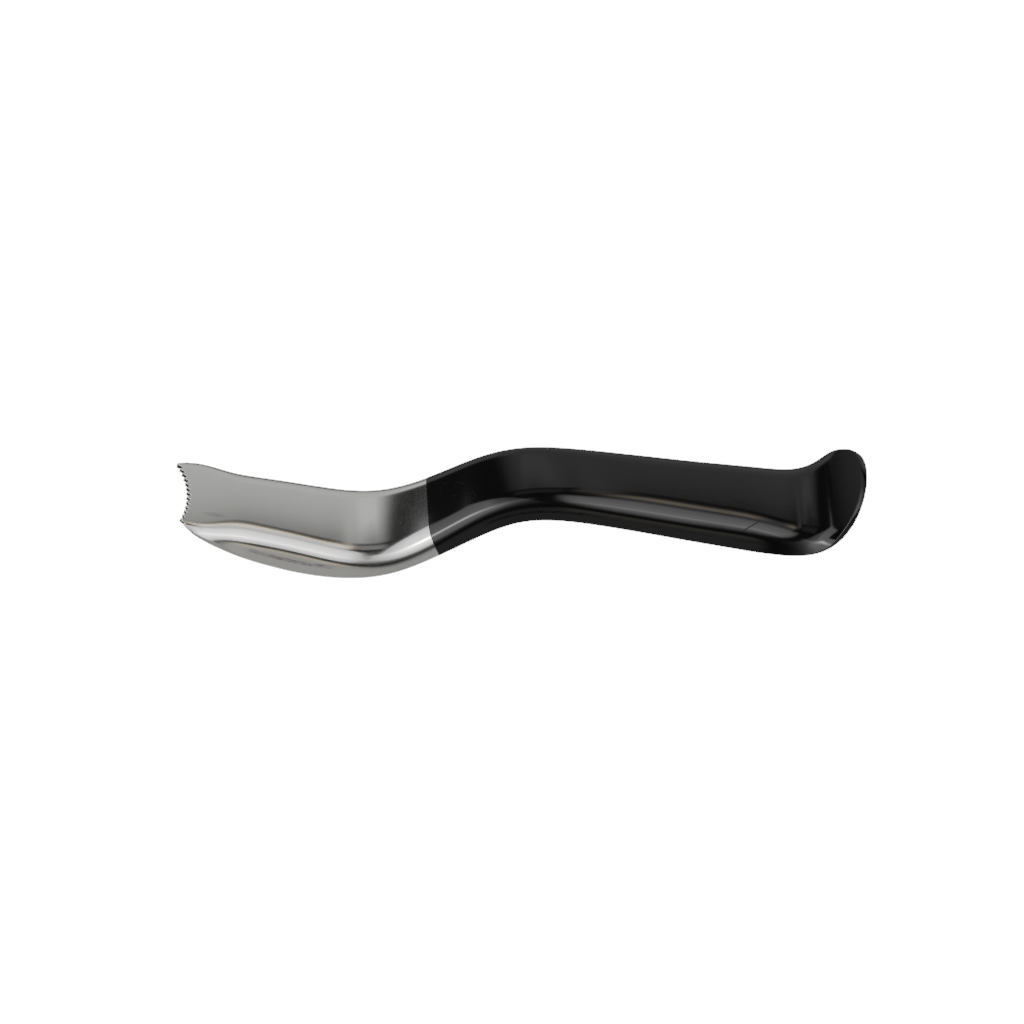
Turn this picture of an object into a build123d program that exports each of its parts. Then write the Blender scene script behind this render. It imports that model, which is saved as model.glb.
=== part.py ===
from build123d import *
import math
import os

# Cheek retractor: one strip of stainless sheet, pressed in a single piece.
# Seen from the side it runs in an S: a broad toothed blade at the left end
# dips into a trough, climbs to a crest and falls gently along the handle,
# whose end spreads into a rounded tongue that curls up.
# Seen end-on it is an upside-down gutter: a flat web, a bend along each side
# and a short splayed flange, so it lies on the lower edges of its flanges.
#
# Frame: +X along the length towards the handle, +Y across, +Z up,
# millimetres, origin at the middle of the bounding box's bottom face.

# ---------------------------------------------------------------- dimensions
SHEET = 1.20            # sheet thickness
SHEET_TIP = 0.85        # thickness at the toothed edge, where the blade is thinned
THIN_RUN = 25.0         # length over which the blade thins towards the teeth
EDGE_BREAK = 0.22       # width of the broken corners along the edges
CROWN = 0.020           # slight crown of the web, radians at CROWN_AT from the middle
CROWN_AT = 12.0
RAMP = 0.35             # share of each bend over which its curvature builds up

TOOTH_COUNT = 13        # V notches filed in the blade's end
TOOTH_PITCH = 1.489     # spacing of the notches along the edge
TOOTH_SHIFT = -0.37     # how far the row of notches sits off the blade's middle
TOOTH_DEPTH = 0.86      # depth of each notch
CRESCENT = 2.04         # how far the end is hollowed at its middle
CRESCENT_HALF = 9.39    # half chord of the hollowed end
# the blade's two outer corners are dressed round by hand, one more than the
# other: (distance from the foremost point, developed distance from the middle)
FAR_CORNER = [(-0.32, 9.32), (-0.22, 9.60), (0.08, 9.90), (0.60, 10.30), (1.20, 10.75), (1.70, 11.15)]
NEAR_CORNER = [(0.78, -8.75), (0.80, -9.08), (0.88, -9.43), (1.15, -9.93), (1.60, -10.50),
               (2.20, -11.06), (3.70, -12.45)]

GROUND_W = 0.95         # widest ground bevel along the blade's sides
GROUND_D = 0.52         # depth of that bevel into the edge
GROUND_AT = 9.5         # where it is widest, from the teeth
GROUND_END = 17.0       # where it has run out

LENGTH = 156.85         # developed length along the middle of the web
LOBE_START = 142.33     # where the tongue's outline starts to close
LOBE_POWER = 2.3        # fullness of the tongue's rounded end
LOBE_TOOL = 52.0        # slope of the sheet where the tongue is trimmed, degrees

# slope of the web's middle line along its own length: (distance, degrees)
SLOPE = [(0, -13.5), (8, -14.9), (16, -17.0), (24, -18.0), (32, -18.4), (38, -12.0),
         (43, 0.9), (48, 15.7), (54, 25.5), (60, 29.0), (66, 26.2), (72, 17.4),
         (78, 5.0), (84, -4.9), (92, -10.7), (102, -13.3), (112, -14.3), (122, -13.7),
         (129, -15.5), (134, -17.7), (139, -11.7), (144, 15.9), (149, 40.2), (154, 51.9),
         (163, 74.9)]
# half of the developed width, from the middle line to the edge
HALF_WIDTH = [(0, 10.00), (5, 12.70), (10, 14.10), (18, 15.44), (30, 16.22), (42, 15.29),
              (54, 14.16), (66, 13.74), (80, 13.24), (98, 13.68), (114, 14.55), (124, 15.14),
              (131, 15.45), (137, 15.28), (143, 14.85), (149, 14.27), (156, 13.55), (163, 13.80)]
# half width of the flat web, developed width of the bend, bend angle in degrees
SECTION = [(0, 8.05, 3.19, 42.0), (4, 8.40, 3.80, 47.0), (8, 7.36, 5.52, 53.8),
           (12, 6.08, 6.96, 59.2), (18, 5.94, 7.06, 60.9), (30, 6.60, 6.92, 61.1),
           (42, 7.10, 6.78, 61.0), (54, 6.33, 6.79, 60.7), (66, 5.66, 6.19, 60.9),
           (80, 5.46, 5.30, 61.0), (98, 4.45, 7.36, 61.0), (114, 4.71, 7.88, 61.0),
           (124, 5.22, 7.82, 61.2), (131, 5.84, 7.53, 60.6), (137, 6.66, 7.29, 55.9),
           (143, 8.20, 7.34, 45.5), (149, 10.80, 7.75, 34.5), (156, 12.90, 7.96, 17.5),
           (163, 14.70, 8.15, 2.0)]


# ------------------------------------------------------------- smooth tables
def spline(table):
    """Natural cubic spline through (position, value) pairs."""
    xs = [float(p[0]) for p in table]
    ys = [float(p[1]) for p in table]
    n = len(xs)
    h = [xs[i + 1] - xs[i] for i in range(n - 1)]
    # tridiagonal system for the second derivatives, zero at both ends
    lower, diag, upper, rhs = [0.0], [1.0], [0.0], [0.0]
    for i in range(1, n - 1):
        lower.append(h[i - 1])
        diag.append(2 * (h[i - 1] + h[i]))
        upper.append(h[i])
        rhs.append(6 * ((ys[i + 1] - ys[i]) / h[i] - (ys[i] - ys[i - 1]) / h[i - 1]))
    lower.append(0.0)
    diag.append(1.0)
    upper.append(0.0)
    rhs.append(0.0)
    for i in range(1, n):
        k = lower[i] / diag[i - 1]
        diag[i] -= k * upper[i - 1]
        rhs[i] -= k * rhs[i - 1]
    m = [0.0] * n
    m[-1] = rhs[-1] / diag[-1]
    for i in range(n - 2, -1, -1):
        m[i] = (rhs[i] - upper[i] * m[i + 1]) / diag[i]

    def at(x):
        i = 0
        while i < n - 2 and x > xs[i + 1]:
            i += 1
        if x < xs[0]:       # straight on beyond the first point
            d = (ys[1] - ys[0]) / h[0] - h[0] * (2 * m[0] + m[1]) / 6
            return ys[0] + d * (x - xs[0])
        a, b = xs[i + 1] - x, x - xs[i]
        return ((m[i] * a ** 3 + m[i + 1] * b ** 3) / (6 * h[i])
                + (ys[i] / h[i] - m[i] * h[i] / 6) * a
                + (ys[i + 1] / h[i] - m[i + 1] * h[i] / 6) * b)
    return at


slope_at = spline(SLOPE)
width_at = spline(HALF_WIDTH)
flat_at = spline([(s, f) for s, f, b, a in SECTION])
bend_at = spline([(s, b) for s, f, b, a in SECTION])
angle_at = spline([(s, a) for s, f, b, a in SECTION])


def step(x):
    x = min(max(x, 0.0), 1.0)
    return x * x * (3 - 2 * x)


def thickness_at(s):
    return SHEET_TIP + (SHEET - SHEET_TIP) * step(s / THIN_RUN)


# ---------------------------------------------------------------- middle line
STEP = 0.1
S_LOW = -4.0
S_HIGH = 163.0


def middle_line():
    pts = []
    count = int(round((S_HIGH - S_LOW) / STEP))
    x = z = 0.0
    for i in range(count + 1):
        pts.append([S_LOW + i * STEP, x, z])
        mid = math.radians(slope_at(S_LOW + (i + 0.5) * STEP))
        x += math.cos(mid) * STEP
        z += math.sin(mid) * STEP
    k = int(round(-S_LOW / STEP))
    x0, z0 = pts[k][1], pts[k][2]
    return [(s, x - x0, z - z0) for s, x, z in pts]


LINE = middle_line()


def line_at(s):
    q = (s - S_LOW) / STEP
    i = min(max(int(q), 0), len(LINE) - 2)
    f = q - i
    return (LINE[i][1] + f * (LINE[i + 1][1] - LINE[i][1]),
            LINE[i][2] + f * (LINE[i + 1][2] - LINE[i][2]))


# -------------------------------------------------------------- cross-section
def ramp(u):
    """Share of the bend angle reached after share u of the bend."""
    a, h = RAMP, 1.0 / (1.0 - RAMP)
    u = min(max(u, 0.0), 1.0)
    if u < a:
        return 0.5 * h * u * u / a
    if u < 1 - a:
        return h * (u - a / 2)
    return 1 - 0.5 * h * (1 - u) ** 2 / a


def lean(s, v):
    """How far the sheet leans over at developed distance v from the middle."""
    return CROWN * v / CROWN_AT + math.radians(angle_at(s)) * ramp((v - flat_at(s)) / bend_at(s))


def section_point(s, v, depth=0.0):
    """(across, height) in the section plane; depth is measured into the sheet."""
    n = 160
    dv = abs(v) / n
    y = z = 0.0
    for i in range(n):
        a = lean(s, (i + 0.5) * dv)
        y += math.cos(a) * dv
        z -= math.sin(a) * dv
    a = lean(s, abs(v))
    y -= depth * math.sin(a)
    z -= depth * math.cos(a)
    return (y if v >= 0 else -y), z


def place(s, y, n):
    """Point of the section plane at s, in the frame of the middle line."""
    t = math.radians(slope_at(s))
    x, z = line_at(s)
    return Vector(x - n * math.sin(t), y, z + n * math.cos(t))


def point(s, v, depth=0.0):
    y, n = section_point(s, v, depth)
    return place(s, y, n)


# --------------------------------------------------- the sheet before trimming
def loft_half_width(s):
    """The blank's edge; past LOBE_START it stands outside the tongue's outline."""
    w = width_at(s)
    if s > LOBE_START:
        w += 0.08 * (s - LOBE_START)
    return w


def ground(s):
    """Width and depth of the bevel on the outer corner of the side edges."""
    if s <= GROUND_AT:
        k = step(s / GROUND_AT)
        return EDGE_BREAK + (GROUND_W - EDGE_BREAK) * k, EDGE_BREAK + (GROUND_D - EDGE_BREAK) * k
    k = step((s - GROUND_AT) / (GROUND_END - GROUND_AT))
    return GROUND_W + (EDGE_BREAK - GROUND_W) * k, GROUND_D + (EDGE_BREAK - GROUND_D) * k


ACROSS = 36             # points across each face of a section


def section_wire(s):
    half = loft_half_width(s)
    t = thickness_at(s)
    a, b = ground(s)
    c = EDGE_BREAK * t / SHEET
    share = [2 * i / ACROSS - 1 for i in range(ACROSS + 1)]
    outer = [point(s, w * (half - a)) for w in share]
    inner = [point(s, -w * (half - c), t) for w in share]
    right = [point(s, half, b), point(s, half, t - c)]
    left = [point(s, -half, t - c), point(s, -half, b)]
    par = [(w + 1) / 2 for w in share]
    edges = [Edge.make_spline(outer, parameters=par),
             Edge.make_line(outer[-1], right[0]),
             Edge.make_line(right[0], right[1]),
             Edge.make_line(right[1], inner[0]),
             Edge.make_spline(inner, parameters=par),
             Edge.make_line(inner[-1], left[0]),
             Edge.make_line(left[0], left[1]),
             Edge.make_line(left[1], outer[0])]
    return Wire(edges)


STATIONS = ([-3.0, -1.0, 1.0, 3.0, 5.0, 7.0, 9.0, 11.0, 13.0, 15.0, 17.0, 19.5]
            + [23.0 + 3.5 * i for i in range(30)]
            + [127.0, 129.5, 132.0, 134.5, 137.0, 139.0, 141.0, 143.0, 145.0, 147.0,
               149.0, 151.0, 153.0, 155.0, 157.0, 159.0])

sheet = Solid.make_loft([section_wire(s) for s in STATIONS])

# ------------------------------------------------------------------ toothed end
# The notches are filed square to the blade, so the cutter runs along the
# normal of the web at the end.
tip_slope = math.radians(slope_at(1.0))
tip_normal = Vector(-math.sin(tip_slope), 0, math.cos(tip_slope))
tip_x, tip_z = line_at(1.0)
tip_plane = Plane(origin=Vector(tip_x, 0, tip_z) - tip_normal * 12,
                  x_dir=Vector(math.cos(tip_slope), 0, math.sin(tip_slope)), z_dir=tip_normal)


def hollow(v):
    """Where the hollowed end lies, from the blade's foremost point."""
    return max(CRESCENT * (1 - (v / CRESCENT_HALF) ** 2), 0.0)


def along_end(arc):
    """Developed half width reached after a length of arc along the hollowed end."""
    n, v = 200, 0.0
    d = abs(arc) / n
    for _ in range(n):
        v += d / math.sqrt(1 + (2 * CRESCENT * v / CRESCENT_HALF ** 2) ** 2)
    return v if arc >= 0 else -v


def flat_on_tip(s, v):
    p = tip_plane.to_local_coords(point(s, v, thickness_at(s) / 2))
    return (p.X, p.Y)


def end_outline():
    """Notches and corners from the near side edge to the far one."""
    pts = [flat_on_tip(s, v) for s, v in reversed(NEAR_CORNER)]
    half = (TOOTH_COUNT - 1) / 2
    for k in range(TOOTH_COUNT):
        a = (k - half) * TOOTH_PITCH + TOOTH_SHIFT
        v1, v2 = along_end(a), along_end(a + TOOTH_PITCH / 2)
        pts.append(flat_on_tip(hollow(v1) + TOOTH_DEPTH / 2, v1))
        pts.append(flat_on_tip(hollow(v2) - TOOTH_DEPTH / 2, v2))
    return pts + [flat_on_tip(s, v) for s, v in FAR_CORNER]


teeth = end_outline()
outline = ([(-9.0, teeth[0][1] - 4.0), (teeth[0][0], teeth[0][1] - 4.0)] + teeth
           + [(teeth[-1][0], teeth[-1][1] + 4.0), (-9.0, teeth[-1][1] + 4.0)])
end_face = Face(Wire.make_polygon([tip_plane.from_local_coords(Vector(x, y, 0)) for x, y in outline],
                                  close=True))
end_cutter = Solid.extrude(end_face, tip_normal * 24)

# ------------------------------------------------------------------ tongue end
lobe_slope = math.radians(LOBE_TOOL)
lobe_normal = Vector(-math.sin(lobe_slope), 0, math.cos(lobe_slope))
lobe_x, lobe_z = line_at(LENGTH)
lobe_plane = Plane(origin=Vector(lobe_x, 0, lobe_z) - lobe_normal * 14,
                   x_dir=Vector(math.cos(lobe_slope), 0, math.sin(lobe_slope)), z_dir=lobe_normal)


def lobe_half(s):
    q = min(max((s - LOBE_START) / (LENGTH - LOBE_START), 0.0), 1.0)
    return width_at(s) * math.sqrt(max(1 - q ** LOBE_POWER, 0.0))


def flat_on_lobe(s, v):
    p = lobe_plane.to_local_coords(point(s, v, SHEET / 2))
    return p.X, p.Y


def lobe_outline():
    """Half outline of the tongue, from its start round to its end point."""
    pts = []
    for s in (LOBE_START - 4.0, LOBE_START - 2.0, LOBE_START):
        x, y = flat_on_lobe(s, width_at(s))
        pts.append((x, y + 0.07 * (LOBE_START - s)))
    for k in range(1, 16):
        q = math.sin(math.radians(6.0 * k))
        s = LOBE_START + (LENGTH - LOBE_START) * q
        pts.append(flat_on_lobe(s, lobe_half(s)))
    return pts


right_side = lobe_outline()
right_side[-1] = (right_side[-1][0], 0.0)
left_side = [(x, -y) for x, y in reversed(right_side[:-1])]
curve = [lobe_plane.from_local_coords(Vector(x, y, 0)) for x, y in right_side + left_side]
far = 30.0
first, last = right_side[0], left_side[-1]
frame_pts = [lobe_plane.from_local_coords(Vector(x, y, 0)) for x, y in
             [(last[0], -far), (far, -far), (far, far), (first[0], far)]]
lobe_edges = [Edge.make_spline(curve)]
chain = [curve[-1]] + frame_pts + [curve[0]]
lobe_edges += [Edge.make_line(chain[i], chain[i + 1]) for i in range(len(chain) - 1)]
lobe_face = Face(Wire(lobe_edges))
lobe_cutter = Solid.extrude(lobe_face, lobe_normal * 28)

body = sheet - end_cutter - lobe_cutter

# ----------------------------------------------------------- place and export
box = body.bounding_box()
shift = Vector(-(box.min.X + box.max.X) / 2, -(box.min.Y + box.max.Y) / 2, -box.min.Z)
body = body.translate(shift)

if __name__ == "__main__":
    os.makedirs("parts", exist_ok=True)
    export_step(body, "parts/retractor_body.step")
    box = body.bounding_box()
    print("size", round(box.size.X, 3), round(box.size.Y, 3), round(box.size.Z, 3))
    print("shift", shift, "volume", round(body.volume, 2), "solids", len(body.solids()))
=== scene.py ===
import math

import bpy
import numpy as np
from mathutils import Matrix, Vector


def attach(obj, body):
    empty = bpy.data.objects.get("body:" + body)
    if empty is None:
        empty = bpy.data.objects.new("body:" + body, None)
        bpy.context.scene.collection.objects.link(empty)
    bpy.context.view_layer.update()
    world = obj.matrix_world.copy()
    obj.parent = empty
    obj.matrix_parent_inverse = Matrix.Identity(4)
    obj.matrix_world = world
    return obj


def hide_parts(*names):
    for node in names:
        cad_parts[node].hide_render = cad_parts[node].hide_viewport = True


# Cheek retractor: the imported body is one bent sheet. This script builds the
# same sheet again as one dense closed mesh with its filed teeth, ground and
# broken edges and the step of the coating, and gives it its two finishes.
# Lengths in the tables are millimetres, as in the part's source.

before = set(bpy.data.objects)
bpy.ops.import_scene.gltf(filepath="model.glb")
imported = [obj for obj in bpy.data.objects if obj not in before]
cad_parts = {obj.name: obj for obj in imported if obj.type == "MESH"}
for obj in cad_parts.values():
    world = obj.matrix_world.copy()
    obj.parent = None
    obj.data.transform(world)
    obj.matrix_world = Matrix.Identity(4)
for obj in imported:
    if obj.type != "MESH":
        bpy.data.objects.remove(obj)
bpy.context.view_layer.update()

# ------------------------------------------------------------------ the sheet
SHEET, SHEET_TIP, THIN_RUN = 1.20, 0.85, 25.0
CROWN, CROWN_AT, RAMP = 0.020, 12.0, 0.35
TOOTH_COUNT, TOOTH_PITCH, TOOTH_DEPTH, TOOTH_SHIFT = 13, 1.489, 0.86, -0.37
CRESCENT, CRESCENT_HALF = 2.04, 9.39
FAR_CORNER = [(-0.32, 9.32), (-0.22, 9.60), (0.08, 9.90), (0.60, 10.30), (1.20, 10.75), (1.70, 11.15)]
NEAR_CORNER = [(0.78, -8.75), (0.80, -9.08), (0.88, -9.43), (1.15, -9.93), (1.60, -10.50),
               (2.20, -11.06), (3.70, -12.45)]
EDGE_BREAK, GROUND_W, GROUND_D, GROUND_AT, GROUND_END = 0.22, 0.95, 0.52, 9.5, 17.0
LENGTH, LOBE_START, LOBE_POWER = 156.85, 142.33, 2.3
SHIFT = (-74.0782, 0.0, 16.3840)     # middle line's frame to the row's frame

SLOPE = [(0, -13.5), (8, -14.9), (16, -17.0), (24, -18.0), (32, -18.4), (38, -12.0),
         (43, 0.9), (48, 15.7), (54, 25.5), (60, 29.0), (66, 26.2), (72, 17.4),
         (78, 5.0), (84, -4.9), (92, -10.7), (102, -13.3), (112, -14.3), (122, -13.7),
         (129, -15.5), (134, -17.7), (139, -11.7), (144, 15.9), (149, 40.2), (154, 51.9),
         (163, 74.9)]
HALF_WIDTH = [(0, 10.00), (5, 12.70), (10, 14.10), (18, 15.44), (30, 16.22), (42, 15.29),
              (54, 14.16), (66, 13.74), (80, 13.24), (98, 13.68), (114, 14.55), (124, 15.14),
              (131, 15.45), (137, 15.28), (143, 14.85), (149, 14.27), (156, 13.55), (163, 13.80)]
SECTION = [(0, 8.05, 3.19, 42.0), (4, 8.40, 3.80, 47.0), (8, 7.36, 5.52, 53.8),
           (12, 6.08, 6.96, 59.2), (18, 5.94, 7.06, 60.9), (30, 6.60, 6.92, 61.1),
           (42, 7.10, 6.78, 61.0), (54, 6.33, 6.79, 60.7), (66, 5.66, 6.19, 60.9),
           (80, 5.46, 5.30, 61.0), (98, 4.45, 7.36, 61.0), (114, 4.71, 7.88, 61.0),
           (124, 5.22, 7.82, 61.2), (131, 5.84, 7.53, 60.6), (137, 6.66, 7.29, 55.9),
           (143, 8.20, 7.34, 45.5), (149, 10.80, 7.75, 34.5), (156, 12.90, 7.96, 17.5),
           (163, 14.70, 8.15, 2.0)]

COAT_AT = 55.59          # where the black coating starts
COAT_RISE = 0.22         # length over which its lip rises
COAT = 0.07              # thickness of the coating


def spline(table):
    """Natural cubic spline through (position, value) pairs, for arrays."""
    x = np.array([float(p[0]) for p in table])
    y = np.array([float(p[1]) for p in table])
    n, h = len(x), np.diff(x)
    a, r = np.zeros((n, n)), np.zeros(n)
    a[0, 0] = a[-1, -1] = 1.0
    for i in range(1, n - 1):
        a[i, i - 1:i + 2] = h[i - 1], 2 * (h[i - 1] + h[i]), h[i]
        r[i] = 6 * ((y[i + 1] - y[i]) / h[i] - (y[i] - y[i - 1]) / h[i - 1])
    m = np.linalg.solve(a, r)
    first = (y[1] - y[0]) / h[0] - h[0] * (2 * m[0] + m[1]) / 6

    def at(q):
        q = np.asarray(q, float)
        i = np.clip(np.searchsorted(x, q) - 1, 0, n - 2)
        u, w = x[i + 1] - q, q - x[i]
        inside = ((m[i] * u ** 3 + m[i + 1] * w ** 3) / (6 * h[i])
                  + (y[i] / h[i] - m[i] * h[i] / 6) * u
                  + (y[i + 1] / h[i] - m[i + 1] * h[i] / 6) * w)
        return np.where(q < x[0], y[0] + first * (q - x[0]), inside)
    return at


slope_at, width_at = spline(SLOPE), spline(HALF_WIDTH)
flat_at = spline([(s, f) for s, f, b, g in SECTION])
bend_at = spline([(s, b) for s, f, b, g in SECTION])
angle_at = spline([(s, g) for s, f, b, g in SECTION])


def step(x):
    x = np.clip(x, 0.0, 1.0)
    return x * x * (3 - 2 * x)


def thickness_at(s):
    return SHEET_TIP + (SHEET - SHEET_TIP) * step(np.asarray(s) / THIN_RUN)


LINE_STEP, S_LOW, S_HIGH = 0.02, -4.0, 163.0
line_s = S_LOW + LINE_STEP * np.arange(int(round((S_HIGH - S_LOW) / LINE_STEP)) + 1)
mid = np.radians(slope_at(line_s[:-1] + LINE_STEP / 2))
line_x = np.concatenate([[0.0], np.cumsum(np.cos(mid)) * LINE_STEP])
line_z = np.concatenate([[0.0], np.cumsum(np.sin(mid)) * LINE_STEP])
line_x -= np.interp(0.0, line_s, line_x)
line_z -= np.interp(0.0, line_s, line_z)


def ramp(u):
    h = 1.0 / (1.0 - RAMP)
    u = np.clip(u, 0.0, 1.0)
    return np.where(u < RAMP, 0.5 * h * u * u / RAMP,
                    np.where(u < 1 - RAMP, h * (u - RAMP / 2), 1 - 0.5 * h * (1 - u) ** 2 / RAMP))


def coat(s):
    """Thickness of the coating at s, on top of the bare sheet."""
    q = np.clip((np.asarray(s) - COAT_AT) / COAT_RISE, 0.0, 1.0)
    return COAT * np.sqrt(np.maximum(1 - (1 - q) ** 2, 0.0))


def sheet_point(s, v, depth):
    """Points of the sheet in the row's frame, millimetres. depth is into the sheet."""
    s, v, depth = np.broadcast_arrays(*(np.asarray(q, float) for q in (s, v, depth)))
    flat, bend, angle = flat_at(s), bend_at(s), np.radians(angle_at(s))
    dist = np.abs(v)
    n = 96
    y, z = np.zeros_like(dist), np.zeros_like(dist)
    for i in range(n):
        d = (i + 0.5) / n * dist
        a = CROWN * d / CROWN_AT + angle * ramp((d - flat) / bend)
        y += np.cos(a)
        z -= np.sin(a)
    y, z = y * dist / n, z * dist / n
    a = CROWN * dist / CROWN_AT + angle * ramp((dist - flat) / bend)
    y = np.sign(v) * (y - depth * np.sin(a))
    z = z - depth * np.cos(a)
    t = np.radians(slope_at(s))
    x0, z0 = np.interp(s, line_s, line_x), np.interp(s, line_s, line_z)
    return np.stack([x0 - z * np.sin(t) + SHIFT[0], y + SHIFT[1], z0 + z * np.cos(t) + SHIFT[2]], -1)


# ------------------------------------------------- columns along the toothed end
def hollow(v):
    return np.maximum(CRESCENT * (1 - (v / CRESCENT_HALF) ** 2), 0.0)


arc_v = np.linspace(0, 11, 4401)
arc_l = np.concatenate([[0], np.cumsum(np.sqrt(1 + (2 * CRESCENT * (arc_v[1:] - 0.00125)
                                                    / CRESCENT_HALF ** 2) ** 2)) * 0.0025])


def along_end(arc):
    return np.sign(arc) * np.interp(abs(arc), arc_l, arc_v)


FLANK = 3                # cells along each flank of a tooth
TIP_A, TIP_B = 0.07, 0.07
EDGE_A, COAT_A = 0.17, 0.22

knots = []               # (s, v) at roots and crests in turn, near side first
for k in range(TOOTH_COUNT):
    a = (k - (TOOTH_COUNT - 1) / 2) * TOOTH_PITCH + TOOTH_SHIFT
    v1, v2 = along_end(a), along_end(a + TOOTH_PITCH / 2)
    knots.append((float(hollow(v1)) + TOOTH_DEPTH / 2, v1))
    knots.append((float(hollow(v2)) - TOOTH_DEPTH / 2, v2))
tip = []                 # (s, v, share round the corner)
for (s0, v0), (s1, v1) in zip(knots[:-1], knots[1:]):
    for j in range(FLANK):
        tip.append((s0 + (s1 - s0) * j / FLANK, v0 + (v1 - v0) * j / FLANK, 0.0))
tip.append((knots[-1][0], knots[-1][1], 0.0))


def dressed(first, rest, cells=9):
    """A corner's rounding from the row of notches to the side edge, in even steps."""
    p = np.array([first] + rest)
    q = np.concatenate([[0], np.cumsum(np.hypot(*np.diff(p, axis=0).T))])
    at_s, at_v = spline(list(zip(q, p[:, 0]))), spline(list(zip(q, p[:, 1])))
    d = np.linspace(0, q[-1], 2000)
    last = d[np.argmax(np.abs(at_v(d)) - width_at(at_s(d)) > 0)]
    return [(float(at_s(last * j / cells)), float(at_v(last * j / cells)), j / cells)
            for j in range(1, cells + 1)]


tip = dressed(knots[0], NEAR_CORNER)[::-1] + tip + dressed(knots[-1], FAR_CORNER)
tip_s, tip_v, tip_turn = np.array(tip).T
COLS = len(tip)


def edge_in(s):
    """(inset on the outer face, depth down the edge, how much of a flat ground bevel)."""
    s = np.asarray(s, float)
    k = np.where(s <= GROUND_AT, step(s / GROUND_AT),
                 1 - step((s - GROUND_AT) / (GROUND_END - GROUND_AT)))
    c = step((s - COAT_AT) / 1.2)
    a = EDGE_A + (GROUND_W - EDGE_A) * k + (COAT_A - EDGE_A) * c
    b = EDGE_A + (GROUND_D - EDGE_A) * k + (COAT_A - EDGE_A) * c
    return a, b, k


def outward(s, v, closed):
    """Unit normals in the flat sheet, pointing out of it."""
    if closed:
        ds, dv = np.roll(s, -1) - np.roll(s, 1), np.roll(v, -1) - np.roll(v, 1)
    else:
        ds, dv = np.gradient(s), np.gradient(v)
    return np.stack([-dv, ds], -1) / np.hypot(ds, dv)[:, None]


tip_out = outward(tip_s, tip_v, False)
tip_out[tip_turn == 0] = (-1.0, 0.0)
tip_a = TIP_A * (1 - tip_turn) + edge_in(tip_s)[0] * tip_turn

# the grid's columns hold the same share w of the half width all along
grid_half = lambda s: width_at(s) - edge_in(s)[0]
tip_in_s = tip_s - tip_out[:, 0] * tip_a
tip_in_v = tip_v - tip_out[:, 1] * tip_a
w_cols = tip_in_v / grid_half(tip_in_s)
w_cols[0], w_cols[-1] = -1.0, 1.0

TIP_END = 4.0
tip_rows = [0.0, 0.025, 0.06, 0.12, 0.2, 0.3, 0.42, 0.56, 0.72, 0.88]
body = list(np.arange(TIP_END, COAT_AT - 0.3, 0.62)) + [COAT_AT - 0.16]
body += [COAT_AT, COAT_AT + 0.012, COAT_AT + 0.04, COAT_AT + 0.08, COAT_AT + 0.14, COAT_AT + COAT_RISE,
         COAT_AT + 0.5, COAT_AT + 1.0]
n_rest = int(round((LOBE_START - body[-1]) / 0.64))
body += list(np.linspace(body[-1], LOBE_START, n_rest + 1)[1:])
LOBE_ROWS = 30

rows_s, rows_v = [], []
for tau in tip_rows:
    s = tip_in_s * (1 - tau) + TIP_END * tau
    rows_s.append(s)
    rows_v.append(w_cols * grid_half(s))
for s in body:
    rows_s.append(np.full(COLS, s))
    rows_v.append(w_cols * grid_half(np.full(COLS, s)))
in_len = LENGTH - COAT_A - LOBE_START
for i in range(1, LOBE_ROWS + 1):
    u = i / LOBE_ROWS
    x = u * np.sqrt(1 - w_cols ** 2 / 2)
    y = w_cols * math.sqrt(1 - u * u / 2)
    s = LOBE_START + in_len * x ** (2 / LOBE_POWER)
    rows_s.append(s)
    rows_v.append(y * grid_half(s))
grid_s, grid_v = np.array(rows_s), np.array(rows_v)
ROWS = len(rows_s)

# ---------------------------------------------------------------- the edge band
# the grid's boundary, once round: toothed end, right side, tongue, left side
loop = ([(0, c) for c in range(COLS)] + [(r, COLS - 1) for r in range(1, ROWS)]
        + [(ROWS - 1, c) for c in range(COLS - 2, -1, -1)] + [(r, 0) for r in range(ROWS - 2, 0, -1)])
lr, lc = np.array([p[0] for p in loop]), np.array([p[1] for p in loop])
bs, bv = grid_s[lr, lc], grid_v[lr, lc]
LOOP = len(loop)
out = outward(bs, bv, True)
on_tip = lr == 0
out[on_tip] = tip_out
turn = np.zeros(LOOP)
turn[:COLS] = tip_turn
a_edge, b_edge, flatness = edge_in(bs)
tip_mix = np.where(on_tip, 1 - turn, 0.0)
a_edge = a_edge * (1 - tip_mix) + TIP_A * tip_mix
a_edge[:COLS] = tip_a
b_edge = b_edge * (1 - tip_mix) + TIP_B * tip_mix
flatness = flatness * (1 - tip_mix)
thick = thickness_at(bs)
c_edge = np.where(on_tip, TIP_A, EDGE_A * thick / SHEET) + (COAT_A - EDGE_A) * step((bs - COAT_AT) / 1.2)
c_edge = 0.9 * c_edge

ARC, RIM, ARC_IN = 5, 2, 4
profile = []             # (distance from the outline inwards, depth), each an array round the loop
for i in range(1, ARC + 1):
    q = i / ARC
    th = q * math.pi / 2
    f = (1 - math.sin(th)) * (1 - flatness) + (1 - q) * flatness
    d = (1 - math.cos(th)) * (1 - flatness) + q * flatness
    profile.append((a_edge * f, b_edge * d))
for i in range(1, RIM + 1):
    q = i / RIM
    profile.append((np.zeros(LOOP), b_edge + (thick - c_edge - b_edge) * q))
for i in range(1, ARC_IN + 1):
    th = i / ARC_IN * math.pi / 2
    profile.append((c_edge * (1 - math.cos(th)), thick - c_edge * (1 - math.sin(th))))

# ------------------------------------------------------------------ vertices
co, sheet_uv = [], []


def surface(s, v, depth, side):
    """side 1 outer face, -1 inner face, 0 edge: where the coating adds its thickness."""
    return sheet_point(s, v, depth - side * coat(s))


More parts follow.
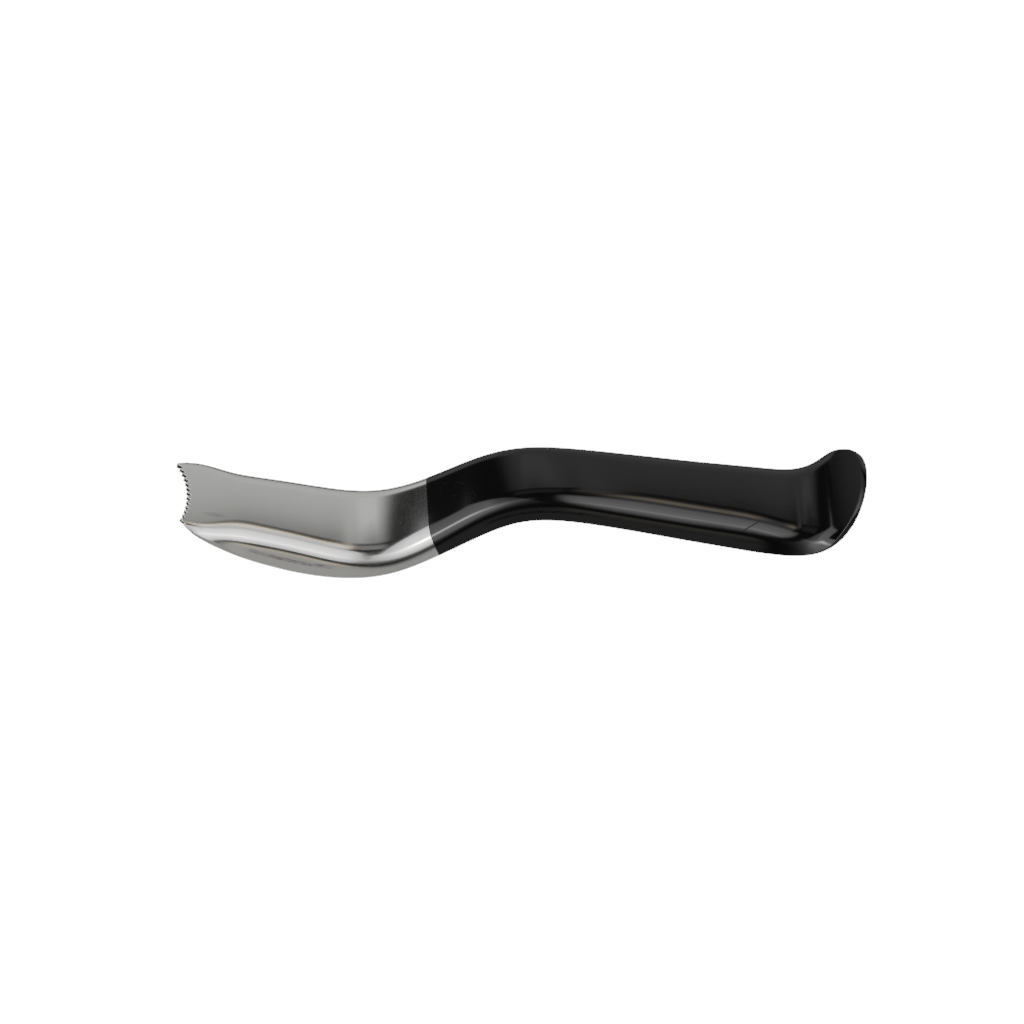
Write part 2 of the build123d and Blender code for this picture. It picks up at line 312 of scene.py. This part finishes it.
outer = surface(grid_s, grid_v, 0.0, 1.0).reshape(-1, 3)
inner = surface(grid_s, grid_v, thickness_at(grid_s), -1.0).reshape(-1, 3)
bands = []
for inset, depth in profile:
    s = bs + out[:, 0] * (a_edge - inset)
    v = bv + out[:, 1] * (a_edge - inset)
    mid_side = 1 - 2 * depth / thick                  # the coating wraps the edge
    grown = coat(s) * (1 - np.abs(mid_side))
    bands.append((s + out[:, 0] * grown, v + out[:, 1] * grown, depth, mid_side))
band_co = [sheet_point(s, v, d - m * coat(s)) for s, v, d, m in bands]

grid_n = ROWS * COLS
co = np.concatenate([outer, inner] + band_co)
attr = np.concatenate([np.stack([grid_s.ravel(), grid_v.ravel(), np.zeros(grid_n)], -1),
                       np.stack([grid_s.ravel(), grid_v.ravel(), thickness_at(grid_s).ravel()], -1)]
                      + [np.stack([s, v, np.broadcast_to(d, s.shape)], -1) for s, v, d, m in bands])

faces, face_s, grid_face = [], [], []
for r in range(ROWS - 1):
    for c in range(COLS - 1):
        i0, i1, i2, i3 = r * COLS + c, (r + 1) * COLS + c, (r + 1) * COLS + c + 1, r * COLS + c + 1
        s = 0.25 * (grid_s[r, c] + grid_s[r + 1, c] + grid_s[r + 1, c + 1] + grid_s[r, c + 1])
        faces.append((i0, i1, i2, i3))
        faces.append((grid_n + i3, grid_n + i2, grid_n + i1, grid_n + i0))
        face_s += [s, s]
        grid_face += [1, -1]
loop_ids = lr * COLS + lc
chains = ([loop_ids] + [2 * grid_n + k * LOOP + np.arange(LOOP) for k in range(len(profile))]
          + [grid_n + loop_ids])
for upper, lower in zip(chains[:-1], chains[1:]):
    for k in range(LOOP):
        m = (k + 1) % LOOP
        faces.append((upper[k], upper[m], lower[m], lower[k]))
        face_s.append(float(np.mean([attr[upper[k], 0], attr[upper[m], 0], attr[lower[k], 0], attr[lower[m], 0]])))
        grid_face.append(0)
faces = np.array(faces)
face_s, grid_face = np.array(face_s), np.array(grid_face)

# all faces turned outwards, by the sign of the closed volume
p = co[faces]
tri = np.concatenate([p[:, [0, 1, 2]], p[:, [0, 2, 3]]])
volume = np.einsum("ij,ij->i", tri[:, 0], np.cross(tri[:, 1], tri[:, 2])).sum() / 6
if volume < 0:
    faces = faces[:, ::-1]
print("mesh", len(co), "vertices", len(faces), "quads, volume", round(abs(volume), 1), "mm3")

mesh = bpy.data.meshes.new("retractor")
mesh.from_pydata((co / 1000.0).tolist(), [], faces.tolist())
mesh.polygons.foreach_set("use_smooth", np.ones(len(faces), bool))
mesh.polygons.foreach_set("material_index", (face_s > COAT_AT).astype(np.int32))
layer = mesh.attributes.new("sheet", "FLOAT_VECTOR", "POINT")
layer.data.foreach_set("vector", attr.astype(np.float32).ravel())
mesh.update()

# ------------------------------------------------------------------- normals
# Smooth faces carry the surface's own normals. The edge band shares normals
# between faces that meet at under 38 degrees, weighted by their area.
def face_normals(pts, fs):
    d1, d2 = pts[fs[:, 2]] - pts[fs[:, 0]], pts[fs[:, 3]] - pts[fs[:, 1]]
    return 0.5 * np.cross(d1, d2)


area_n = face_normals(co, faces)
area = np.linalg.norm(area_n, axis=1)
unit_n = area_n / np.maximum(area[:, None], 1e-12)
eps = 0.004
ds = (surface(grid_s + eps, grid_v, 0.0, 1.0) - surface(grid_s - eps, grid_v, 0.0, 1.0)).reshape(-1, 3)
dv = (surface(grid_s, grid_v + eps, 0.0, 1.0) - surface(grid_s, grid_v - eps, 0.0, 1.0)).reshape(-1, 3)
n_out = np.cross(ds, dv)
tt = thickness_at(grid_s)
ds = (surface(grid_s + eps, grid_v, thickness_at(grid_s + eps), -1.0)
      - surface(grid_s - eps, grid_v, thickness_at(grid_s - eps), -1.0)).reshape(-1, 3)
dv = (surface(grid_s, grid_v + eps, tt, -1.0) - surface(grid_s, grid_v - eps, tt, -1.0)).reshape(-1, 3)
n_in = np.cross(ds, dv)
smooth_n = np.concatenate([n_out, n_in])
smooth_n /= np.linalg.norm(smooth_n, axis=1, keepdims=True)
corner_v = faces.ravel()
corner_f = np.repeat(np.arange(len(faces)), 4)
ref = unit_n[corner_f]
loop_n = ref.copy()
on_grid = (grid_face[corner_f] != 0)
n_grid = smooth_n[corner_v[on_grid]]
flip = np.sign(np.einsum("ij,ij->i", n_grid, ref[on_grid]))
loop_n[on_grid] = n_grid * np.where(flip == 0, 1, flip)[:, None]
# the coating's lip is sharp where it meets the bare steel
lip = on_grid & (np.abs(attr[np.minimum(corner_v, len(attr) - 1), 0] - COAT_AT) < 1e-6)
order = np.argsort(corner_v, kind="stable")
starts = np.searchsorted(corner_v[order], np.arange(len(co) + 1))
near = math.cos(math.radians(38))
for k in np.flatnonzero(~on_grid | lip):
    vtx = corner_v[k]
    fs = corner_f[order[starts[vtx]:starts[vtx + 1]]]
    fs = fs[unit_n[fs] @ ref[k] > near]
    total = area_n[fs].sum(0)
    length = np.linalg.norm(total)
    if length > 0:
        loop_n[k] = total / length
mesh.normals_split_custom_set(loop_n.tolist())

body_obj = bpy.data.objects.new("retractor_sheet", mesh)
bpy.context.scene.collection.objects.link(body_obj)


# ------------------------------------------------------------------ materials
class Nodes:
    """Short hand for building a node tree."""

    def __init__(self, tree):
        self.tree = tree

    def add(self, kind, inputs=None, **props):
        node = self.tree.nodes.new(kind)
        for key, value in props.items():
            setattr(node, key, value)
        for key, value in (inputs or {}).items():
            self.put(node, key, value)
        return node

    def put(self, node, key, value):
        socket = node.inputs[key]
        if isinstance(value, bpy.types.NodeSocket):
            self.tree.links.new(value, socket)
        else:
            socket.default_value = value

    def math(self, op, a, b=0.0, c=0.0, clamp=False):
        node = self.add("ShaderNodeMath", {0: a, 1: b, 2: c}, operation=op)
        node.use_clamp = clamp
        return node.outputs[0]

    def vec(self, op, a, b=(0, 0, 0)):
        node = self.add("ShaderNodeVectorMath", {0: a, 1: b}, operation=op)
        return node.outputs["Value"] if op in ("DOT_PRODUCT", "LENGTH") else node.outputs[0]

    def smooth(self, x, lo, hi):
        node = self.add("ShaderNodeMapRange", {"Value": x, "From Min": lo, "From Max": hi},
                        interpolation_type="SMOOTHSTEP")
        return node.outputs[0]

    def noise(self, vector, scale, detail=2.0, rough=0.5):
        node = self.add("ShaderNodeTexNoise", {"Vector": vector, "Scale": scale, "Detail": detail,
                                               "Roughness": rough})
        return node.outputs[0]

    def mix(self, factor, a, b):
        node = self.add("ShaderNodeMix", data_type="RGBA")
        self.put(node, 0, factor)
        self.put(node, 6, a)
        self.put(node, 7, b)
        return node.outputs[2]


def new_material(name):
    mat = bpy.data.materials.new(name)
    mat.use_nodes = True
    mat.node_tree.nodes.clear()
    n = Nodes(mat.node_tree)
    out_node = n.add("ShaderNodeOutputMaterial")
    shader = n.add("ShaderNodeBsdfPrincipled")
    mat.node_tree.links.new(shader.outputs[0], out_node.inputs[0])
    return mat, n, shader


def sheet_coords(n):
    at = n.add("ShaderNodeAttribute", attribute_name="sheet").outputs["Vector"]
    xyz = n.add("ShaderNodeSeparateXYZ", {0: at})
    return at, xyz.outputs[0], xyz.outputs[1], xyz.outputs[2]


def along_tangent(n):
    """Direction along the strip: square to the normal and to the width."""
    normal = n.add("ShaderNodeNewGeometry").outputs["Normal"]
    return n.vec("NORMALIZE", n.vec("CROSS_PRODUCT", (0, 1, 0), normal))


def spot(n, s_in, v_in, s0, v0, rs, rv):
    """1 at a place on the sheet, falling to 0 at the given reach each way."""
    a = n.math("POWER", n.math("DIVIDE", n.math("SUBTRACT", s_in, s0), rs), 2.0)
    b = n.math("POWER", n.math("DIVIDE", n.math("SUBTRACT", v_in, v0), rv), 2.0)
    return n.math("SUBTRACT", 1.0, n.smooth(n.math("ADD", a, b), 0.0, 1.0))


def scratch(n, s_in, v_in, a, b, width):
    """1 along the straight line from a to b on the sheet, 0 beyond its width."""
    length = math.hypot(b[0] - a[0], b[1] - a[1])
    us, uv = (b[0] - a[0]) / length, (b[1] - a[1]) / length
    ds, dv = n.math("SUBTRACT", s_in, a[0]), n.math("SUBTRACT", v_in, a[1])
    along = n.math("ADD", n.math("MULTIPLY", ds, us), n.math("MULTIPLY", dv, uv))
    off = n.math("ABSOLUTE", n.math("SUBTRACT", n.math("MULTIPLY", ds, uv), n.math("MULTIPLY", dv, us)))
    inside = n.math("MULTIPLY", n.smooth(along, 0.0, 0.25 * length),
                    n.math("SUBTRACT", 1.0, n.smooth(along, 0.7 * length, length)))
    return n.math("MULTIPLY", inside, n.math("SUBTRACT", 1.0, n.smooth(off, 0.0, width)))


steel, n, shader = new_material("satin_steel")
at, s_in, v_in, d_in = sheet_coords(n)
# brushing runs across the strip: fine along s, long along v
fine = n.noise(n.add("ShaderNodeCombineXYZ", {0: n.math("MULTIPLY", s_in, 6.0),
                                              1: n.math("MULTIPLY", v_in, 0.22),
                                              2: d_in}).outputs[0], 1.0, 3.0, 0.6)
broad = n.noise(n.add("ShaderNodeCombineXYZ", {0: n.math("MULTIPLY", s_in, 0.9),
                                               1: n.math("MULTIPLY", v_in, 0.08),
                                               2: d_in}).outputs[0], 1.0, 2.0, 0.5)
cloud = n.noise(at, 0.22, 3.0, 0.55)
tone = n.math("ADD", n.math("MULTIPLY", fine, 0.16), n.math("MULTIPLY", broad, 0.22))
tone = n.math("ADD", tone, n.math("MULTIPLY", cloud, 0.16))
colour = n.mix(n.math("ADD", tone, 0.23), (0.80, 0.797, 0.770, 1), (0.95, 0.945, 0.918, 1))
# darker patches in the base colour: one by the near corner, a faint one above it, and two small dark dots
dark_patches = n.math("ADD", n.math("MULTIPLY", 0.34, spot(n, s_in, v_in, 4.5, -10.3, 0.9, 0.55)),
                n.math("MULTIPLY", 0.16, spot(n, s_in, v_in, 3.7, -9.6, 0.5, 1.3)))
dark_patches = n.math("ADD", dark_patches, n.math("MULTIPLY", 0.20, spot(n, s_in, v_in, 7.6, -5.7, 3.0, 0.9)))
dark_patches = n.math("ADD", dark_patches, n.math("MULTIPLY", 0.45, spot(n, s_in, v_in, 37.7, 9.6, 0.22, 0.16)))
dark_patches = n.math("ADD", dark_patches, n.math("MULTIPLY", 0.50, spot(n, s_in, v_in, 42.5, -1.1, 0.22, 0.18)))
colour = n.mix(dark_patches, colour, (0.16, 0.16, 0.155, 1))
# painted shade: the walls of the filed notches are darkened in the base colour, for the shade that falls in them
notch_line = n.math("MULTIPLY", CRESCENT, n.math("SUBTRACT", 1.0, n.math("POWER", n.math("DIVIDE", v_in, CRESCENT_HALF), 2.0)))
notch_shade = n.math("MULTIPLY", n.smooth(d_in, 0.02, 0.08), n.math("SUBTRACT", 1.0, n.smooth(d_in, 0.74, 0.80)))
notch_shade = n.math("MULTIPLY", notch_shade, n.math("SUBTRACT", 1.0, n.smooth(n.math("SUBTRACT", s_in, notch_line), 0.46, 0.60)))
notch_shade = n.math("MULTIPLY", notch_shade, n.math("SUBTRACT", 1.0, n.smooth(n.math("ABSOLUTE", v_in), 9.3, 9.8)))
colour = n.mix(n.math("MULTIPLY", notch_shade, 0.94), colour, (0.055, 0.055, 0.060, 1))
n.put(shader, "Base Color", colour)
n.put(shader, "Metallic", 1.0)
n.put(shader, "Roughness", n.math("ADD", 0.135, n.math("MULTIPLY", n.math("ADD", fine, cloud), 0.02)))
n.put(shader, "Anisotropic", 0.8)
n.put(shader, "Tangent", along_tangent(n))
height = n.math("ADD", n.math("MULTIPLY", fine, 0.5), n.math("MULTIPLY", broad, 1.0))
n.put(shader, "Normal", n.add("ShaderNodeBump", {"Height": height, "Strength": 0.04,
                                                 "Distance": 0.00004}).outputs[0])

black, n, shader = new_material("black_coating")
at, s_in, v_in, d_in = sheet_coords(n)
peel = n.noise(at, 0.30, 2.0, 0.5)
dust = n.noise(at, 5.0, 2.0, 0.6)
lines = None
# one groove that dulls the shine, and four pale hairlines
groove = scratch(n, s_in, v_in, (126.4, -11.3), (130.6, -8.2), 0.20)
for a, b, w, k in (((59.6, 4.9), (61.0, 3.6), 0.10, 0.35),
                   ((63.0, 2.9), (65.2, 1.2), 0.12, 0.45), ((61.6, -0.6), (63.4, -1.5), 0.10, 0.30),
                   ((66.6, -2.0), (67.8, -4.6), 0.10, 0.30)):
    one = n.math("MULTIPLY", k, scratch(n, s_in, v_in, a, b, w))
    lines = one if lines is None else n.math("ADD", lines, one)
n.put(shader, "Base Color", n.mix(lines, n.mix(peel, (0.0020, 0.0020, 0.0021, 1), (0.0027, 0.0027, 0.0028, 1)),
                                  (0.030, 0.029, 0.028, 1)))
n.put(shader, "Roughness", n.math("ADD", n.math("ADD", 0.075, n.math("MULTIPLY", dust, 0.03)),
                                  n.math("MULTIPLY", groove, 0.35)))
n.put(shader, "Specular IOR Level", n.math("SUBTRACT", 0.5, n.math("MULTIPLY", groove, 0.35)))
n.put(shader, "IOR", 1.46)
n.put(shader, "Normal", n.add("ShaderNodeBump", {"Height": peel, "Strength": 0.05,
                                                 "Distance": 0.0001}).outputs[0])

mesh.materials.append(steel)
mesh.materials.append(black)

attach(body_obj, "root")
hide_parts("retractor_body")

# ---------------------------------------------------------------------- floor
floor_mesh = bpy.data.meshes.new("floor")
half = 12.0
floor_mesh.from_pydata([(-half, -half, 0), (half, -half, 0), (half, half, 0), (-half, half, 0)], [], [(0, 1, 2, 3)])
floor = bpy.data.objects.new("floor", floor_mesh)
bpy.context.scene.collection.objects.link(floor)
fmat = bpy.data.materials.new("pale_floor")
fmat.use_nodes = True
fmat.node_tree.nodes.clear()
n = Nodes(fmat.node_tree)
seen = n.add("ShaderNodeLightPath").outputs["Is Camera Ray"]
bright = n.add("ShaderNodeEmission", {"Color": (1, 1, 1, 1), "Strength": 6.5})
# painted light: the floor glows instead of being lit. Camera rays see an even white; all other rays see a dim glow,
# which is what the object picks up from the floor: lighter in front than behind
where = n.add("ShaderNodeSeparateXYZ", {0: n.add("ShaderNodeNewGeometry").outputs["Position"]}).outputs[1]
back = n.math("SUBTRACT", 0.30, n.math("MULTIPLY", 0.16, n.smooth(where, 0.012, 0.032)))
dim = n.add("ShaderNodeEmission", {"Color": (1, 1, 1, 1), "Strength": back})
pick = n.add("ShaderNodeMixShader", {0: seen, 1: dim.outputs[0], 2: bright.outputs[0]})
n.add("ShaderNodeOutputMaterial", {0: pick.outputs[0]})
floor_mesh.materials.append(fmat)

# --------------------------------------------------------------------- lights
# A studio of soft panels. Directions are given as a tilt in degrees, from the
# back horizon (0) over the zenith (90) to the front horizon (180), and a side,
# from straight left (-90) to straight right (90).
world = bpy.data.worlds.new("studio")
bpy.context.scene.world = world
world.use_nodes = True
world.node_tree.nodes.clear()
n = Nodes(world.node_tree)
direction = n.add("ShaderNodeTexCoord").outputs["Generated"]
xyz = n.add("ShaderNodeSeparateXYZ", {0: direction})
deg = 180 / math.pi
tilt = n.math("MULTIPLY", n.math("ARCTAN2", xyz.outputs[2], xyz.outputs[1]), deg)
side = n.math("MULTIPLY", n.math("ARCSINE", xyz.outputs[0]), deg)


def ladder(x, points):
    """Straight lines between (x, level) points, level outside them."""
    total = points[0][1]
    for (x0, y0), (x1, y1) in zip(points[:-1], points[1:]):
        if y0 != y1:
            total = n.math("ADD", total, n.add("ShaderNodeMapRange", {
                "Value": x, "From Min": x0, "From Max": x1, "To Min": 0.0, "To Max": y1 - y0}).outputs[0])
    return total


def times(*factors):
    total = factors[0]
    for f in factors[1:]:
        total = n.math("MULTIPLY", total, f)
    return total


def over(x, by):
    """How far x is beyond a value, never below 0."""
    return n.math("MAXIMUM", n.math("SUBTRACT", x, by), 0.0)


def under(by, x):
    return n.math("MAXIMUM", n.math("SUBTRACT", by, x), 0.0)


panels = []
# back wall: its top edge slants down to the right, its left edge is slanted and soft
top_tilt = n.math("ADD", tilt, times(0.47, over(side, 11.5)))
wall = ladder(top_tilt, [(-30, 0.26), (5, 0.36), (20, 0.45), (40.5, 0.47), (43.0, 0.36), (43.9, 0.05), (47, 0.0)])
slant = n.math("SUBTRACT", n.math("ADD", side, 56.0), tilt)
panels.append((times(wall, ladder(slant, [(-1, 0.0), (2.5, 0.5), (7, 1.0)]),
                     ladder(side, [(-38, 0.0), (-34.5, 1.35), (-30, 1.35), (-18, 1.0), (40, 1.0), (62, 0.3)])),
               (1.0, 1.0, 1.0)))
# low and dim beyond its left edge
panels.append((times(ladder(tilt, [(-20, 0.20), (-3, 0.14), (4, 0.12), (10, 0.10), (17, 0.06), (30, 0.0)]),
                     ladder(side, [(-64, 0.6), (-50, 1.0), (-38, 1.0), (-34.5, 0.0)])), (1.0, 1.0, 1.0)))
# lamp just under its top edge, and a pale patch above its right end
panels.append((times(0.36, ladder(tilt, [(40.9, 0.0), (41.3, 1.0), (42.4, 0.7), (43.6, 0.1), (44.5, 0.0)]),
                     ladder(side, [(-7, 0.0), (-4, 1.0), (7, 1.0), (11, 0.3), (13, 0.0)])), (1.0, 1.0, 1.0)))
panels.append((times(0.45, ladder(tilt, [(39, 0.0), (43, 1.0), (54, 1.0), (58, 0.0)]),
                     ladder(side, [(14.5, 0.0), (16.5, 1.0), (19.0, 1.0), (20.5, 0.0)])), (1.0, 1.0, 0.98)))
# light spilled overhead
panels.append((times(0.18, ladder(tilt, [(46, 0.0), (50, 1.0), (65, 1.0), (72, 0.0)]),
                     ladder(side, [(-14, 0.0), (-10, 1.0), (12, 1.0), (15, 0.0)])), (1.0, 1.0, 1.0)))
# right bank, with a dark gap above the wall and one above the front horizon
right = ladder(tilt, [(80, 0.0), (85, 0.7), (91, 1.35), (97, 2.2), (109, 2.5), (114, 2.9), (124, 3.0), (128, 3.7),
                      (131, 4.5), (134, 4.2), (138, 3.1), (144, 2.65), (150, 2.15), (153.5, 1.3), (156.5, 0.2),
                      (158.5, 0.0)])
panels.append((times(right, ladder(side, [(12.5, 0.0), (16, 0.7), (19, 1.0), (45, 1.0), (62, 0.4)])),
               (1.0, 0.99, 1.01)))
right = ladder(tilt, [(47, 0.0), (51, 0.28), (58, 0.50), (72, 0.66), (79, 0.79), (85, 0.85), (91, 0.6), (97, 0.2),
                      (101, 0.0)])
panels.append((times(right, ladder(side, [(20.5, 0.0), (23, 1.0), (45, 1.0), (62, 0.4)])), (1.0, 0.99, 1.01)))
panels.append((times(ladder(tilt, [(42.5, 0.0), (45, 0.33), (50, 0.33), (53.5, 1.6), (66, 1.4), (70, 0.1), (73, 0.0)]),
                     ladder(side, [(18.5, 0.15), (21, 0.35), (22.5, 1.0), (25, 1.0), (28, 0.0)]),
                     ladder(side, [(15, 0.0), (18.5, 1.0)])),
               (1.12, 0.90, 0.68)))
# left bank: lower edge slanted on both sides, and its soft end towards the middle
low_edge = n.math("SUBTRACT", tilt, times(2.7, over(side, -33)))
low_edge = n.math("SUBTRACT", low_edge, n.math("MINIMUM", times(9.0, under(-45.5, side)), 46.0))
left = ladder(tilt, [(31, 1.3), (46, 1.75), (62, 2.2), (79, 2.5), (100, 2.75), (131, 2.85), (137, 2.4), (143, 2.2),
                     (147, 1.5), (150, 0.9), (152.5, 0.33), (157, 0.1), (159, 0.0)])
panels.append((times(left, ladder(low_edge, [(29.3, 0.0), (33.0, 1.0)]),
                     ladder(side, [(-80, 0.2), (-62, 0.9), (-32, 1.0), (-25, 0.0)])), (1.0, 0.995, 1.02)))
near = ladder(tilt, [(31, 0.55), (58, 0.85), (81, 1.1), (97, 1.6), (107, 2.0), (113, 2.3), (129, 3.0), (135, 2.0),
                     (143, 1.25), (148, 0.6), (152.5, 0.2), (157, 0.1), (159, 0.0)])
panels.append((times(near, ladder(low_edge, [(29.3, 0.0), (33.0, 1.0)]),
                     ladder(side, [(-32, 0.0), (-25, 1.0), (-20, 0.85), (-13, 0.45), (0, 0.18), (10, 0.04), (13, 0.0)])),
               (1.0, 0.995, 1.02)))
# its bright tube, lowest at the side -43
tube = n.math("SUBTRACT", tilt, n.math("MINIMUM", times(0.48, over(side, -43)), 10.0))
tube = n.math("SUBTRACT", tube, times(0.69, under(-43, side)))
panels.append((times(ladder(tube, [(91, 0.0), (97, 0.35), (103, 1.0), (107, 0.75), (112, 0.25), (120, 0.0)]),
                     ladder(side, [(-66, 3.8), (-55, 5.5), (-47, 9.9), (-41, 9.9), (-32, 4.4), (-22, 1.6), (-1, 0.6), (4, 0.0)])),
               (1.0, 0.99, 0.96)))
# front wall, low, with a warm strip along its top on the right
panels.append((times(ladder(tilt, [(161.5, 0.0), (163, 0.04), (166.8, 0.30), (169, 0.34), (180, 0.36)]),
                     ladder(side, [(-60, 0.6), (-30, 1.0), (30, 1.0), (60, 0.6)])), (1.0, 1.0, 1.0)))
panels.append((times(ladder(tilt, [(161.5, 0.0), (163.3, 0.42), (165.8, 0.42), (167.2, 0.0)]),
                     ladder(side, [(7.5, 0.0), (10, 1.0), (24, 1.0), (32, 0.0)])), (1.12, 0.96, 0.76)))
total = None
for level, tint in panels:
    col = n.vec("MULTIPLY", n.add("ShaderNodeCombineXYZ", {0: level, 1: level, 2: level}).outputs[0], tint)
    total = col if total is None else n.vec("ADD", total, col)
studio = n.add("ShaderNodeBackground", {"Color": total, "Strength": 1.0})
plain = n.add("ShaderNodeBackground", {"Color": (1, 1, 1, 1), "Strength": 6.5})
seen = n.add("ShaderNodeLightPath").outputs["Is Camera Ray"]
both = n.add("ShaderNodeMixShader", {0: seen, 1: studio.outputs[0], 2: plain.outputs[0]})
n.add("ShaderNodeOutputWorld", {0: both.outputs[0]})
world.cycles.sampling_method = "MANUAL"
world.cycles.sample_map_resolution = 1024

# --------------------------------------------------------------------- camera
elevation, yaw, roll = math.radians(42.5), math.radians(-1.400), math.radians(2.108)
distance = 1.754926
target = Vector((-0.0024740, -0.0000042, 0.0054239))
forward = Vector((-math.sin(yaw) * math.cos(elevation), math.cos(yaw) * math.cos(elevation), -math.sin(elevation)))
right0 = Vector((math.cos(yaw), math.sin(yaw), 0.0))
up0 = right0.cross(forward)
right = right0 * math.cos(roll) - up0 * math.sin(roll)
up = right0 * math.sin(roll) + up0 * math.cos(roll)
cam_data = bpy.data.cameras.new("camera")
cam_data.sensor_width = 36.0
cam_data.lens = 8087.2 * 36.0 / 1024.0
cam_data.clip_start, cam_data.clip_end = 0.05, 60.0
cam = bpy.data.objects.new("camera", cam_data)
bpy.context.scene.collection.objects.link(cam)
place = Matrix((right, up, -forward)).transposed().to_4x4()
place.translation = target - forward * distance
cam.matrix_world = place
bpy.context.scene.camera = cam

# a camera's response: straight through the dark and middle tones, with a long
# shoulder that holds the lights
view = bpy.context.scene.view_settings
view.view_transform = "Standard"
view.use_curve_mapping = True
response = view.curve_mapping
response.use_clip = True
response.clip_max_x = 6.0
response.clip_max_y = 1.0
curve = response.curves[3]
curve.points[0].location = (0.0, 0.0)
curve.points[-1].location = (6.0, 1.0)
for x, y in ((0.15, 0.15), (0.30, 0.30), (0.42, 0.405), (0.60, 0.45), (0.95, 0.50), (1.45, 0.565), (2.20, 0.64),
             (3.10, 0.735), (4.30, 0.85), (5.20, 0.96)):
    curve.points.new(x, y)
for point in curve.points:
    point.handle_type = "VECTOR"
response.update()
